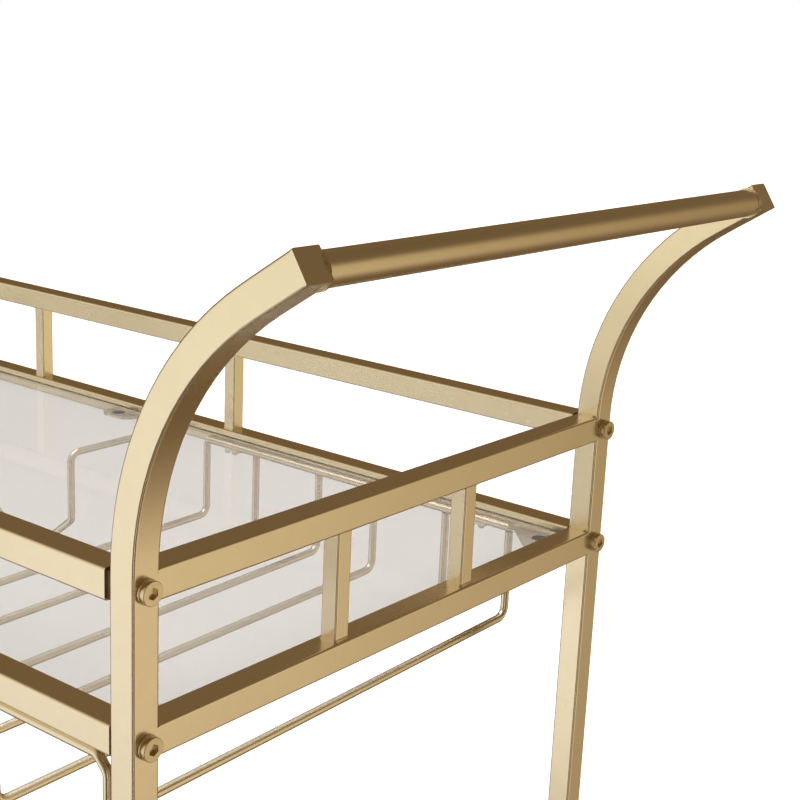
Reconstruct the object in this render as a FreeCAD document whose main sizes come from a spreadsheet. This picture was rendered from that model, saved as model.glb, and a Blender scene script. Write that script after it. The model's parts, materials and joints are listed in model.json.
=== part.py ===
import FreeCAD, Part
import math
import os

import Sketcher
from FreeCAD import Placement, Rotation, Vector

# A two-shelf bar cart: square-tube end frames, one with curved push-handle arms, joined by
# bolted ladder rails that hold two glass shelves, with wire racks under the upper shelf and
# four swivel casters. X runs along the cart with the handle at +X, Z is up, and the origin
# is on the floor under the middle of the whole cart. All sizes are in millimetres.

DRIVING = {
    # frame
    "frame_length": 835,        # outer end face to outer end face, without the handle
    "frame_depth": 380,
    "tube": 15,                 # square tube of uprights and rails
    "tube_wall": 1.2,
    "tube_edge": 1.4,           # rounding of the tube's long edges
    "leg_bottom": 68,           # height of the uprights' lower ends
    "lower_tray": 140,          # height of the lower tray's shelf rails, top side
    "upper_tray": 630,          # height of the upper tray's shelf rails, top side
    "guard_rise": 72,           # guard rail top above shelf rail top
    "guard_drop": 1,            # the long guard rails sit this much lower than the end ones
    "shelf_drop": 0.3,          # and the long shelf rails this much
    "side_inset": 0.2,          # long rails set back from the uprights' outer faces
    "guard_gap": 3,             # joint between an upright and a long guard rail
    "shelf_gap": 0.6,           # joint between an upright and a long shelf rail
    "post": 10,                 # square posts between the rails
    "post_wall": 1,
    "end_post_pitch": 104,
    "side_post_pitch": 216,
    "cap_thick": 1.5,           # plates that close the tubes' open ends
    # handle
    "arm_radius": 152.6,        # bend of the handle arms, at the tube's middle
    "arm_start": 68.5,          # height above the upper tray where the bend begins
    "arm_turn": 57,             # degrees
    "arm_tail": 28.3,           # straight run after the bend
    "handle_dia": 14.5,
    "handle_back": 5,           # handle bar axis, back from the arms' tips
    # shelves
    "glass_thick": 5,
    "glass_sink": 5,            # glass top below the end shelf rails' top
    "glass_play": 1.5,          # clearance round the glass
    "pad_thick": 1,
    "pad_dia": 10,
    "bracket_thick": 1.5,
    "gusset_leg": 36,
    "tab_length": 33,
    "tab_reach": 15,
    # fasteners
    "bolt_dia": 6,
    "bolt_hole": 6.4,
    "head_dia": 11.2,
    "head_high": 2.8,
    "head_edge": 0.4,           # rounding of the head's rim
    "socket_across": 5,
    "socket_deep": 1.9,
    "washer_dia": 11.6,
    "washer_thick": 1.4,
    "shelf_bolt_set": 0.5,      # axis of a shelf rail's bolts, inward of the upright's middle
    "guard_bolt_set": 0,        # and of a guard rail's bolts
    "plug_length": 18,
    "plug_play": 0.1,           # clearance between a plug and its tube, on each side
    "screw_dia": 4,
    "screw_head_dia": 7.4,
    "screw_head_high": 2.3,
    "rack_screw_set": 3,        # the racks' screws, inward of a shelf rail's middle
    # wire racks
    "wire": 5,
    "rack_drop": 70,            # runner wires' axis below the upper tray's shelf rail top, at the back
    "rack_fall": 5.5,           # and this much lower still at the front
    "loop_set": 4.5,            # front loops' plane behind the front cross wire
    "tab_wide": 12,
    "runner_pitch": 110,        # one pair of runners to the next
    "runner_half": 25,          # half the spacing in a pair
    "rack_start": 81,           # first pair's middle from the handle end face
    "cradle_start": 365,        # bottle cradles' hanger from the handle end face
    "cradle_pitch": 102,
    # casters
    "wheel_dia": 50,
    "wheel_wide": 18,
    "tread_thick": 6,
    "trail": 20,                # wheel axle behind the swivel axis
    "axle_dia": 6,
    "fork_gap": 21,             # inside width of the fork
    "fork_wall": 2,
    "fork_top": 61,
    "fork_front": 12,           # reach of the fork ahead of the swivel axis
    "fork_back": 11,            # and behind the wheel axle
    "fork_foot": 9,             # half width of a cheek round the axle
    "kingpin_dia": 7,
    "stem_dia": 8,
    "stem_top": 94,
    "collar_dia": 15,           # hexagon collar, across its corners
    "socket_flange": 2,         # plastic socket in a leg: its rim
    "socket_length": 30,
    "pivot_dia": 4,             # brake pedal's pivot pin
    "pivot_back": 5,            # behind the wheel axle
    "pivot_rise": 5,            # above the wheel
    "pedal_play": 0.7,          # between the pedal and each cheek
    "running_gap": 0.06,        # radial clearance of the turning fits
}

doc = FreeCAD.newDocument("BarCart")


def make_sheet():
    """The spreadsheet of driving dimensions, one named cell each."""
    sheet = doc.addObject("Spreadsheet::Sheet", "Dims")
    for row, (name, number) in enumerate(DRIVING.items(), start=1):
        sheet.set("A%d" % row, str(number))
        sheet.setAlias("A%d" % row, name)
    doc.recompute()
    return sheet


sheet = make_sheet()
size = {name: float(sheet.get(name)) for name in DRIVING}

TUBE = size["tube"]
HALF_DEPTH = size["frame_depth"] / 2
LEG_Y = HALF_DEPTH - TUBE / 2
TRAYS = {"upper": size["upper_tray"], "lower": size["lower_tray"]}
UPPER = size["upper_tray"]
WIRE = size["wire"]
PROUD = size["head_high"] + size["washer_thick"]
ARM_TURN = math.radians(size["arm_turn"])


def tip_reach():
    """How far the handle's tips stand out past the handle-end face."""
    inner = size["arm_radius"] - TUBE / 2
    return inner * (1 - math.cos(ARM_TURN)) + (size["arm_tail"] + size["cap_thick"]) * math.sin(ARM_TURN)


HANDLE_FACE = (size["frame_length"] + PROUD - tip_reach()) / 2
PLAIN_FACE = HANDLE_FACE - size["frame_length"]
MIDDLE = (HANDLE_FACE + PLAIN_FACE) / 2
ENDS = {"handle": HANDLE_FACE - TUBE / 2, "plain": PLAIN_FACE + TUBE / 2}
SIDES = {"front": -1, "rear": 1}
OUTWARD = {"handle": 1, "plain": -1}

ALONG_X = Rotation(Vector(0, 1, 0), 90)
ALONG_Y = Rotation(Vector(1, 0, 0), -90)
UPRIGHT = Rotation()

nodes = {}


# ---------------------------------------------------------------- helpers

def bind(thing, prop, expression):
    """Bind a property to the sheet; names in the expression are cell aliases."""
    words = []
    word = ""
    for letter in expression + " ":
        if letter.isalpha() or letter == "_":
            word += letter
            continue
        words.append("Dims." + word if word in DRIVING else word)
        words.append(letter)
        word = ""
    thing.setExpression(prop, "".join(words).strip())


def new_body(name):
    """An empty PartDesign body, registered as the sub-part of that name."""
    body = doc.addObject("PartDesign::Body", name)
    body.Label = name
    nodes[name] = body
    return body


def new_sketch(body, plane):
    """A sketch on one of the body's own origin planes."""
    sketch = body.newObject("Sketcher::SketchObject", body.Name + "_sketch")
    support = next(item for item in body.Origin.OriginFeatures if item.Role == plane + "_Plane")
    sketch.AttachmentSupport = (support, [""])
    sketch.MapMode = "FlatFace"
    return sketch


def hold_point(sketch, geometry, end, at):
    """Hold one point of a sketch at signed distances from the sketch's origin."""
    here = sketch.getPoint(geometry, end)
    for kind, start, expression in (("DistanceX", here.x, at[0]), ("DistanceY", here.y, at[1])):
        place = sketch.addConstraint(Sketcher.Constraint(kind, -1, 1, geometry, end, start))
        bind(sketch, "Constraints[%d]" % place, expression)


def outline(sketch, points):
    """A closed outline of straight lines through points given as pairs of expressions."""
    first = sketch.GeometryCount
    count = len(points)
    start = [Vector(math.cos(2 * math.pi * k / count), math.sin(2 * math.pi * k / count), 0)
             for k in range(count)]
    for k in range(count):
        sketch.addGeometry(Part.LineSegment(start[k], start[(k + 1) % count]), False)
    for k in range(count):
        joint = Sketcher.Constraint("Coincident", first + k, 2, first + (k + 1) % count, 1)
        sketch.addConstraint(joint)
        hold_point(sketch, first + k, 1, points[k])


def rectangle(sketch, wide, high, at=("0", "0")):
    """A rectangle centred on a point."""
    corners = [(-1, -1), (1, -1), (1, 1), (-1, 1)]
    outline(sketch, [("%s + %d * (%s) / 2" % (at[0], sx, wide),
                      "%s + %d * (%s) / 2" % (at[1], sy, high)) for sx, sy in corners])


def circle(sketch, diameter, at=("0", "0")):
    """A circle of a bound diameter round a held centre."""
    index = sketch.addGeometry(Part.Circle(Vector(1, 1, 0), Vector(0, 0, 1), 3), False)
    place = sketch.addConstraint(Sketcher.Constraint("Diameter", index, 6.0))
    bind(sketch, "Constraints[%d]" % place, diameter)
    hold_point(sketch, index, 3, at)


def pad(body, sketch, length, both_ways=False, reverse=False):
    """Pad a sketch by a bound length."""
    feature = body.newObject("PartDesign::Pad", body.Name + "_pad")
    feature.Profile = sketch
    bind(feature, "Length", length)
    feature.SideType = "Symmetric" if both_ways else "One side"
    feature.Reversed = reverse
    return feature


def pocket(body, sketch, length=None, both_ways=False, reverse=False):
    """Cut a sketch out of the body, through everything unless a length is given."""
    before = solid_volume(body)
    feature = body.newObject("PartDesign::Pocket", body.Name + "_pocket")
    feature.Profile = sketch
    feature.SideType = "Symmetric" if both_ways else "One side"
    feature.Reversed = reverse
    if length is None:
        feature.Type = "ThroughAll"
    else:
        bind(feature, "Length", length)
    doc.recompute()
    if not solid_volume(body) < before - 0.01:
        raise RuntimeError("the pocket in %s cuts nothing" % body.Name)
    return feature


def solid_volume(body):
    doc.recompute()
    return body.Shape.Volume


def round_edges(body, radius, chosen):
    """Fillet the edges of the body's last feature that the test picks."""
    doc.recompute()
    base = body.Tip
    names = ["Edge%d" % (k + 1) for k, edge in enumerate(base.Shape.Edges) if chosen(edge)]
    feature = body.newObject("PartDesign::Fillet", body.Name + "_fillet")
    feature.Base = (base, names)
    bind(feature, "Radius", radius)
    doc.recompute()
    return feature


def place(thing, x, y, z, turn=UPRIGHT):
    thing.Placement = Placement(Vector(x, y, z), turn)


def group(name, master, places):
    """One sub-part made of identical separate solids: copies of a master at the places."""
    doc.recompute()
    shape = master.Shape if hasattr(master, "Shape") else master
    plain = shape.copy()
    plain.Placement = Placement()
    copies = []
    for spot in places:
        copy = plain.copy()
        copy.Placement = spot
        copies.append(copy)
    feature = doc.addObject("Part::Feature", name)
    feature.Label = name
    feature.Shape = Part.makeCompound(copies)
    nodes[name] = feature
    return feature


def master_body(name):
    """A body that is only the pattern for a group, not a sub-part itself."""
    body = new_body(name)
    del nodes[name]
    return body


def rod_shape(points, bends, diameter):
    """A round rod along straight runs through the points, joined by tangent arcs."""
    points = [Vector(*point) for point in points]
    edges = []
    here = points[0]
    for k in range(1, len(points) - 1):
        arriving = (points[k] - points[k - 1]).normalize()
        leaving = (points[k + 1] - points[k]).normalize()
        turn = arriving.getAngle(leaving)
        radius = bends[k - 1] if isinstance(bends, list) else bends
        cut = radius * math.tan(turn / 2)
        start = points[k] - arriving * cut
        end = points[k] + leaving * cut
        inward = (leaving - arriving).normalize()
        middle = points[k] + inward * (radius / math.cos(turn / 2) - radius)
        if (start - here).Length > 0.01:
            edges.append(Part.LineSegment(here, start).toShape())
        edges.append(Part.Arc(start, middle, end).toShape())
        here = end
    edges.append(Part.LineSegment(here, points[-1]).toShape())
    spine = Part.Wire(edges)
    ring = Part.Circle(points[0], points[1] - points[0], diameter / 2).toShape()
    rod = spine.makePipeShell([Part.Wire([ring])], True, False)
    if rod.Volume < 0:
        rod.reverse()
    expected = spine.Length * math.pi * diameter ** 2 / 4
    if abs(rod.Volume - expected) > 0.01 * expected:
        raise RuntimeError("a wire's volume is %.1f and not %.1f" % (rod.Volume, expected))
    return rod


def rods(name, paths):
    """A sub-part of one or more bent wires, each a (points, bends) pair."""
    shapes = [rod_shape(points, bends, WIRE) for points, bends in paths]
    feature = doc.addObject("Part::Feature", name)
    feature.Label = name
    feature.Shape = shapes[0] if len(shapes) == 1 else Part.makeCompound(shapes)
    nodes[name] = feature
    return feature


# ---------------------------------------------------------------- frame tubes

def is_long(edge):
    return edge.Length > 1.5 * TUBE


def square_bar(body, side, length):
    """A solid square bar along the body's Z, with its long edges rounded."""
    sketch = new_sketch(body, "XY")
    rectangle(sketch, side, side)
    pad(body, sketch, length)


def hollow(body, side, wall):
    """Cut the bore of a square tube right through, along the body's Z."""
    sketch = new_sketch(body, "XY")
    rectangle(sketch, "%s - 2 * %s" % (side, wall), "%s - 2 * %s" % (side, wall))
    pocket(body, sketch, both_ways=True)


def rail(name, length, holes=()):
    """A square tube along the body's Z; holes are screw holes in its lower wall."""
    body = new_body(name)
    square_bar(body, "tube", length)
    round_edges(body, "tube_edge", is_long)
    hollow(body, "tube", "tube_wall")
    if holes:
        drill_lower_wall(body, holes)
    return body


def drill_lower_wall(body, holes):
    """Screw holes in the wall that faces down once the tube lies along X.

    Each hole is given by its distance along the tube and its offset from the tube's middle.
    """
    sketch = new_sketch(body, "YZ")
    for along, aside in holes:
        circle(sketch, "screw_dia + 0.4", ("%.3f" % aside, "%.3f" % along))
    pocket(body, sketch, "tube", reverse=True)


def end_rails():
    """The rails across each end, butted between the two uprights."""
    for end, x in ENDS.items():
        for tray, height in TRAYS.items():
            for kind, rise in (("shelf", 0), ("guard", size["guard_rise"])):
                body = rail("%s_end_%s_%s_rail" % (end, tray, kind), "frame_depth - 2 * tube")
                place(body, x, -HALF_DEPTH + TUBE, height + rise - TUBE / 2, ALONG_Y)


def rack_screw_spots():
    """Where the wire racks' screws go up into the upper shelf rails: (x, side, y)."""
    spots = []
    inward = size["rack_screw_set"]
    for side, sign in SIDES.items():
        middle = sign * (HALF_DEPTH - size["side_inset"] - TUBE / 2)
        for pair in (0, 2):
            x = HANDLE_FACE - size["rack_start"] - pair * size["runner_pitch"]
            spots.append((x, side, middle - sign * inward))
        for step in (0, 4):
            x = HANDLE_FACE - size["cradle_start"] - step * size["cradle_pitch"]
            spots.append((x, side, middle - sign * inward))
    return spots


def side_rails():
    """The long rails: a guard rail and a shelf rail on each side of each tray."""
    for side, sign in SIDES.items():
        y = sign * (HALF_DEPTH - size["side_inset"] - TUBE / 2)
        for tray, height in TRAYS.items():
            for kind, rise, drop in (("shelf", 0, "shelf"), ("guard", size["guard_rise"], "guard")):
                gap = size[drop + "_gap"]
                start = PLAIN_FACE + TUBE + gap
                holes = []
                if kind == "shelf" and tray == "upper":
                    holes = [(x - start, spot - y) for x, where, spot in rack_screw_spots()
                             if where == side]
                length = "frame_length - 2 * tube - 2 * %s_gap" % drop
                body = rail("%s_%s_%s_rail" % (side, tray, kind), length, holes)
                top = height + rise - size[drop + "_drop"]
                place(body, start, y, top - TUBE / 2, ALONG_X)


def bolt_rows():
    """The bolts in an upright, one per long rail: (rail kind, height)."""
    rows = []
    for height in TRAYS.values():
        rows.append(("shelf", height - size["shelf_drop"] - TUBE / 2))
        rows.append(("guard", height + size["guard_rise"] - size["guard_drop"] - TUBE / 2))
    return rows


def drill_for_bolts(body):
    """Bolt holes along X through an upright, at every long rail."""
    inward = "-" if body.Name.startswith("rear") else ""
    sketch = new_sketch(body, "YZ")
    for kind, height in bolt_rows():
        circle(sketch, "bolt_hole", ("%s%s_bolt_set" % (inward, kind), "%.3f - leg_bottom" % height))
    pocket(body, sketch, both_ways=True)


def arm_path(body):
    """The sketched centre line of a handle upright: a straight leg, a tangent arc and a tail."""
    straight = UPPER + size["arm_start"] - size["leg_bottom"]
    radius = size["arm_radius"]
    sketch = new_sketch(body, "XZ")
    leg = sketch.addGeometry(Part.LineSegment(Vector(0, 0, 0), Vector(0, straight, 0)), False)
    middle = Vector(radius * (1 - math.cos(ARM_TURN / 2)), straight + radius * math.sin(ARM_TURN / 2), 0)
    bend_end = Vector(radius * (1 - math.cos(ARM_TURN)), straight + radius * math.sin(ARM_TURN), 0)
    arc = sketch.addGeometry(Part.Arc(Vector(0, straight, 0), middle, bend_end), False)
    start, end = 1, 2
    if sketch.getPoint(arc, 1).x > sketch.getPoint(arc, 2).x:
        start, end = end, start
    sketch.addConstraint(Sketcher.Constraint("Coincident", leg, 1, -1, 1))
    sketch.addConstraint(Sketcher.Constraint("Coincident", leg, 2, arc, start))
    bend = "upper_tray + arm_start - leg_bottom"
    hold_point(sketch, leg, 2, ("0", bend))
    hold_point(sketch, arc, 3, ("arm_radius", bend))
    rise = sketch.addConstraint(Sketcher.Constraint("DistanceY", -1, 1, arc, end, bend_end.y))
    bind(sketch, "Constraints[%d]" % rise, bend + " + arm_radius * sin(arm_turn * 1deg)")
    run = Vector(math.sin(ARM_TURN), math.cos(ARM_TURN), 0) * size["arm_tail"]
    tail = sketch.addGeometry(Part.LineSegment(bend_end, bend_end + run), False)
    sketch.addConstraint(Sketcher.Constraint("Coincident", tail, 1, arc, end))
    reach = "arm_radius * (1 - cos(arm_turn * 1deg)) + arm_tail * sin(arm_turn * 1deg)"
    height = bend + " + arm_radius * sin(arm_turn * 1deg) + arm_tail * cos(arm_turn * 1deg)"
    hold_point(sketch, tail, 2, (reach, height))
    return sketch


def sweep(body, kind, profile, path):
    """Sweep a sketched profile along a sketched path."""
    feature = body.newObject("PartDesign::" + kind, body.Name + "_" + kind.lower())
    feature.Profile = profile
    feature.Spine = path
    doc.recompute()
    return feature


def handle_uprights():
    """Handle-end legs that run on up and curve out into the arms of the handle."""
    for side, sign in SIDES.items():
        body = new_body(side + "_handle_upright")
        path = arm_path(body)
        outer = new_sketch(body, "XY")
        rectangle(outer, "tube", "tube")
        sweep(body, "AdditivePipe", outer, path)
        round_edges(body, "tube_edge", is_long)
        inner = new_sketch(body, "XY")
        rectangle(inner, "tube - 2 * tube_wall", "tube - 2 * tube_wall")
        sweep(body, "SubtractivePipe", inner, path)
        drill_for_bolts(body)
        place(body, ENDS["handle"], sign * LEG_Y, size["leg_bottom"])


def plain_uprights():
    """Straight legs at the other end, level with the top of the guard rail."""
    for side, sign in SIDES.items():
        body = rail(side + "_plain_upright", "upper_tray + guard_rise - leg_bottom")
        drill_for_bolts(body)
        place(body, ENDS["plain"], sign * LEG_Y, size["leg_bottom"])


def arm_tip(back=0.0):
    """A point on the handle arms' centre line, a given distance back from the tip: (x, z)."""
    radius, run = size["arm_radius"], size["arm_tail"] - back
    x = ENDS["handle"] + radius * (1 - math.cos(ARM_TURN)) + run * math.sin(ARM_TURN)
    z = UPPER + size["arm_start"] + radius * math.sin(ARM_TURN) + run * math.cos(ARM_TURN)
    return x, z


def tube_end_caps():
    """Flat plates that close the two handle tips and the tops of the plain uprights."""
    master = master_body("cap_master")
    sketch = new_sketch(master, "XY")
    rectangle(sketch, "tube", "tube")
    pad(master, sketch, "cap_thick")
    round_edges(master, "tube_edge - 0.4", lambda edge: abs(edge.Length - size["cap_thick"]) < 0.01)
    x, z = arm_tip()
    tilt = Rotation(Vector(0, 1, 0), size["arm_turn"])
    top = UPPER + size["guard_rise"]
    places = [Placement(Vector(x, sign * LEG_Y, z), tilt) for sign in SIDES.values()]
    places += [Placement(Vector(ENDS["plain"], sign * LEG_Y, top), UPRIGHT) for sign in SIDES.values()]
    group("tube_end_caps", master, places)


def handle_bar():
    """The round push bar between the arms' inner faces."""
    body = new_body("handle_bar")
    sketch = new_sketch(body, "XY")
    circle(sketch, "handle_dia")
    circle(sketch, "handle_dia - 2 * tube_wall")
    pad(body, sketch, "frame_depth - 2 * tube")
    x, z = arm_tip(size["handle_back"])
    place(body, x, -HALF_DEPTH + TUBE, z, ALONG_Y)


def posts(name, length, spots):
    """Short square posts that stand on the shelf rails and carry the guard rails."""
    master = master_body(name + "_master")
    square_bar(master, "post", length)
    round_edges(master, "post_wall", is_long)
    hollow(master, "post", "post_wall")
    group(name, master, [Placement(Vector(*spot), UPRIGHT) for spot in spots])


def all_posts():
    """Posts in the end frames and in the long side frames."""
    end_spots = [(x, sign * size["end_post_pitch"] / 2, height)
                 for x in ENDS.values() for sign in (-1, 1) for height in TRAYS.values()]
    posts("end_posts", "guard_rise - tube", end_spots)
    y = HALF_DEPTH - size["side_inset"] - TUBE / 2
    side_spots = [(MIDDLE + along * size["side_post_pitch"] / 2, sign * y, height - size["shelf_drop"])
                  for along in (-1, 1) for sign in (-1, 1) for height in TRAYS.values()]
    posts("side_posts", "guard_rise - tube + shelf_drop - guard_drop", side_spots)


# ---------------------------------------------------------------- shelves

def inner_half_length():
    return size["frame_length"] / 2 - TUBE


def inner_half_depth():
    return HALF_DEPTH - size["side_inset"] - TUBE


def glass_shelves():
    """Clear tempered panes that lie inside the shelf rails."""
    for tray, height in TRAYS.items():
        body = new_body(tray + "_glass_shelf")
        sketch = new_sketch(body, "XY")
        rectangle(sketch, "frame_length - 2 * tube - 2 * glass_play",
                  "frame_depth - 2 * side_inset - 2 * tube - 2 * glass_play")
        pad(body, sketch, "glass_thick")
        round_edges(body, "glass_thick", lambda edge: abs(edge.Length - size["glass_thick"]) < 0.01)
        place(body, MIDDLE, 0, height - size["glass_sink"] - size["glass_thick"])


def bracket_height(height):
    return height - size["glass_sink"] - size["glass_thick"] - size["pad_thick"] - size["bracket_thick"]


def shelf_brackets():
    """Corner gussets and mid-side tabs under the glass, with a clear pad on each."""
    gusset = master_body("gusset_master")
    sketch = new_sketch(gusset, "XY")
    outline(sketch, [("0", "0"), ("gusset_leg", "0"), ("gusset_leg", "tube / 3"),
                     ("tube / 3", "gusset_leg"), ("0", "gusset_leg")])
    pad(gusset, sketch, "bracket_thick")
    tab = master_body("tab_master")
    sketch = new_sketch(tab, "XY")
    rectangle(sketch, "tab_length", "tab_reach", ("0", "tab_reach / 2"))
    pad(tab, sketch, "bracket_thick")
    round_edges(tab, "tab_reach - 3", lambda edge: abs(edge.Length - size["bracket_thick"]) < 0.01
                and edge.CenterOfMass.y > 1)
    pad_disc = master_body("pad_master")
    circle_sketch = new_sketch(pad_disc, "XY")
    circle(circle_sketch, "pad_dia")
    pad(pad_disc, circle_sketch, "pad_thick")
    long_half, deep_half = inner_half_length(), inner_half_depth()
    corners = [(-1, -1, 0), (1, -1, 90), (1, 1, 180), (-1, 1, 270)]
    gussets, tabs, pads = [], [], []
    for height in TRAYS.values():
        z = bracket_height(height)
        above = z + size["bracket_thick"]
        for sx, sy, turn in corners:
            corner = Vector(MIDDLE + sx * long_half, sy * deep_half, z)
            gussets.append(Placement(corner, Rotation(Vector(0, 0, 1), turn)))
            pads.append(Placement(Vector(corner.x - sx * 12, corner.y - sy * 12, above), UPRIGHT))
        for sy, turn in ((-1, 0), (1, 180)):
            tabs.append(Placement(Vector(MIDDLE, sy * deep_half, z), Rotation(Vector(0, 0, 1), turn)))
            pads.append(Placement(Vector(MIDDLE, sy * (deep_half - 8), above), UPRIGHT))
    group("corner_gussets", gusset, gussets)
    group("shelf_tabs", tab, tabs)
    group("glass_pads", pad_disc, pads)


# ---------------------------------------------------------------- fasteners

def bolt_places(stand_off, kinds=("shelf", "guard"), on_rail=False):
    """Places along the frame bolts' axes, or along the rails' own, with Z out of the end face."""
    places = []
    for end, outward in OUTWARD.items():
        face = HANDLE_FACE if end == "handle" else PLAIN_FACE
        turn = Rotation(Vector(0, 1, 0), 90 * outward)
        for sign in SIDES.values():
            for kind, height in bolt_rows():
                if kind in kinds:
                    inward = size["side_inset"] if on_rail else size[kind + "_bolt_set"]
                    spot = Vector(face + outward * stand_off, sign * (LEG_Y - inward), height)
                    places.append(Placement(spot, turn))
    return places


def frame_bolts():
    """Flat-headed hex-socket bolts; the origin is the underside of the head."""
    master = master_body("bolt_master")
    head = new_sketch(master, "XY")
    circle(head, "head_dia")
    pad(master, head, "head_high")
    round_edges(master, "head_edge", lambda edge: edge.CenterOfMass.z > size["head_high"] - 0.1)
    shank = new_sketch(master, "XY")
    circle(shank, "bolt_dia")
    pad(master, shank, "washer_thick + tube + plug_length - 4", reverse=True)
    socket = new_sketch(master, "XY")
    across = "socket_across / (2 * cos(30deg))"
    outline(socket, [("%s * cos(%ddeg)" % (across, 60 * k), "%s * sin(%ddeg)" % (across, 60 * k))
                     for k in range(6)])
    socket.AttachmentOffset = Placement(Vector(0, 0, size["head_high"]), UPRIGHT)
    pocket(master, socket, "socket_deep")
    group("frame_bolts", master, bolt_places(size["washer_thick"]))


def frame_washers():
    master = master_body("washer_master")
    sketch = new_sketch(master, "XY")
    circle(sketch, "washer_dia")
    circle(sketch, "bolt_hole")
    pad(master, sketch, "washer_thick")
    group("frame_washers", master, bolt_places(0))


def rail_end_plug(kind):
    """Pattern of the threaded plug in a long rail's end; its flange fills the joint to the upright."""
    master = master_body(kind + "_plug_master")
    flange = new_sketch(master, "XY")
    rectangle(flange, "tube - 2", "tube - 2")
    pad(master, flange, kind + "_gap", reverse=True)
    plug = new_sketch(master, "XY")
    plug.AttachmentOffset = Placement(Vector(0, 0, -size[kind + "_gap"]), UPRIGHT)
    across = "tube - 2 * tube_wall - 2 * plug_play"
    rectangle(plug, across, across)
    pad(master, plug, "plug_length", reverse=True)
    doc.recompute()
    return master.Shape


def rail_end_plugs():
    """The plugs, each bored where its bolt runs."""
    bore = Part.makeCylinder(size["bolt_dia"] / 2 + 0.05, 2 * size["plug_length"])
    bore.translate(Vector(0, 0, -1.5 * size["plug_length"]))
    shapes = []
    for kind in ("guard", "shelf"):
        master = rail_end_plug(kind)
        rails = bolt_places(-TUBE, [kind], on_rail=True)
        for rail, axis in zip(rails, bolt_places(-TUBE, [kind])):
            plug = master.copy()
            plug.Placement = rail
            hole = bore.copy()
            hole.Placement = axis * hole.Placement
            shapes.append(plug.cut(hole))
    feature = doc.addObject("Part::Feature", "rail_end_plugs")
    feature.Label = "rail_end_plugs"
    feature.Shape = Part.makeCompound(shapes)
    nodes["rail_end_plugs"] = feature


# ---------------------------------------------------------------- wire racks

def back_wire_y():
    """Distance from the cart's middle plane of a wire lying along a shelf rail's inner face."""
    return inner_half_depth() - WIRE / 2 - 0.1


def front_wire_y():
    """The same for the wire under the front shelf rail, flush with the rail's outer face."""
    return HALF_DEPTH - size["side_inset"] - WIRE / 2


def top_wire_z():
    """Height of the racks' top wires, just clear of the glass."""
    return UPPER - size["glass_sink"] - size["glass_thick"] - WIRE / 2 - 0.25


def runner_x(pair, member):
    """X of one runner wire; member is +1 for the one nearer the handle."""
    middle = HANDLE_FACE - size["rack_start"] - pair * size["runner_pitch"]
    return middle + member * size["runner_half"]


def stemware_rack():
    """Hanging runners for stemmed glasses, open between the wires of each pair.

    The outer wire runs down, forward and up at both ends and crosses under the front shelf
    rail. The inner runners are joined in twos by a raised loop at the front. Their back
    ends butt under a cross wire that lies against the back shelf rail.
    """
    back_y = back_wire_y()
    front_y = -front_wire_y()
    top_z = top_wire_z()
    loop_y = front_y + size["loop_set"]
    back_z = UPPER - size["rack_drop"]
    low_z = back_z - size["rack_fall"]
    cross_z = UPPER - size["shelf_drop"] - TUBE - WIRE / 2
    leg_z = top_z - WIRE / 2
    spread, knee, crook = 37.0, 12.0, 7.0
    first, last = runner_x(0, 1), runner_x(2, -1)

    def end_leg(x, outward):
        return [(x, back_y, leg_z), (x, back_y, back_z), (x, front_y, low_z),
                (x, front_y, low_z + knee), (x + outward * spread, front_y, low_z + 2.6 * knee),
                (x + outward * spread, front_y, cross_z - crook),
                (x + outward * (spread - crook), front_y, cross_z)]

    outer = end_leg(first, 1) + end_leg(last, -1)[::-1]
    bends = [7, 7, 6, 7, 5, 5]
    rods("stemware_outer_wire", [(outer, bends + bends[::-1])])
    rods("stemware_back_wire", [([(first, back_y, top_z), (last, back_y, top_z)], 0)])
    loops = []
    for pair in (0, 1):
        near, far = runner_x(pair, -1), runner_x(pair + 1, 1)
        neck = near - size["runner_pitch"] / 2 + size["runner_half"]
        crown = cross_z - math.sqrt(WIRE ** 2 - size["loop_set"] ** 2) - 0.01
        half = [(near, back_y, leg_z), (near, back_y, back_z), (near, loop_y, low_z),
                (near, loop_y, low_z + knee), (neck + 8, loop_y, low_z + 2.6 * knee),
                (neck + 8, loop_y, crown)]
        other = [(2 * neck - x, y, z) for x, y, z in half[::-1]]
        loops.append((half + other, [7, 7, 6, 6, 6, 6, 6, 6, 7, 7]))
        if abs(2 * neck - near - far) > 0.01:
            raise RuntimeError("the runner loop is off centre")
    rods("stemware_runners", loops)


def bottle_cradles():
    """Two waved wires that hold lying bottles: the deep one a body, the shallow one a neck."""
    hang_z = top_wire_z()
    start = HANDLE_FACE - size["cradle_start"]
    waves = 4
    for name, sign, y, crest, valley, bend in (
            ("bottle_body_cradle", 1, 77, 62, 102, 34), ("bottle_neck_cradle", -1, 95, 58, 84, 17)):
        rail_y = sign * back_wire_y()
        points = [(start, rail_y, hang_z), (start, sign * y, hang_z), (start, sign * y, UPPER - crest)]
        for wave in range(waves):
            middle = start - (wave + 0.5) * size["cradle_pitch"]
            points.append((middle, sign * y, UPPER - valley))
            points.append((middle - size["cradle_pitch"] / 2, sign * y, UPPER - crest))
        x = points[-1][0]
        points += [(x, sign * y, hang_z), (x, rail_y, hang_z)]
        bends = [7, 5] + [bend, 9] * waves + [7]
        bends[-2] = 5
        rods(name, [(points, bends)])


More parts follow.
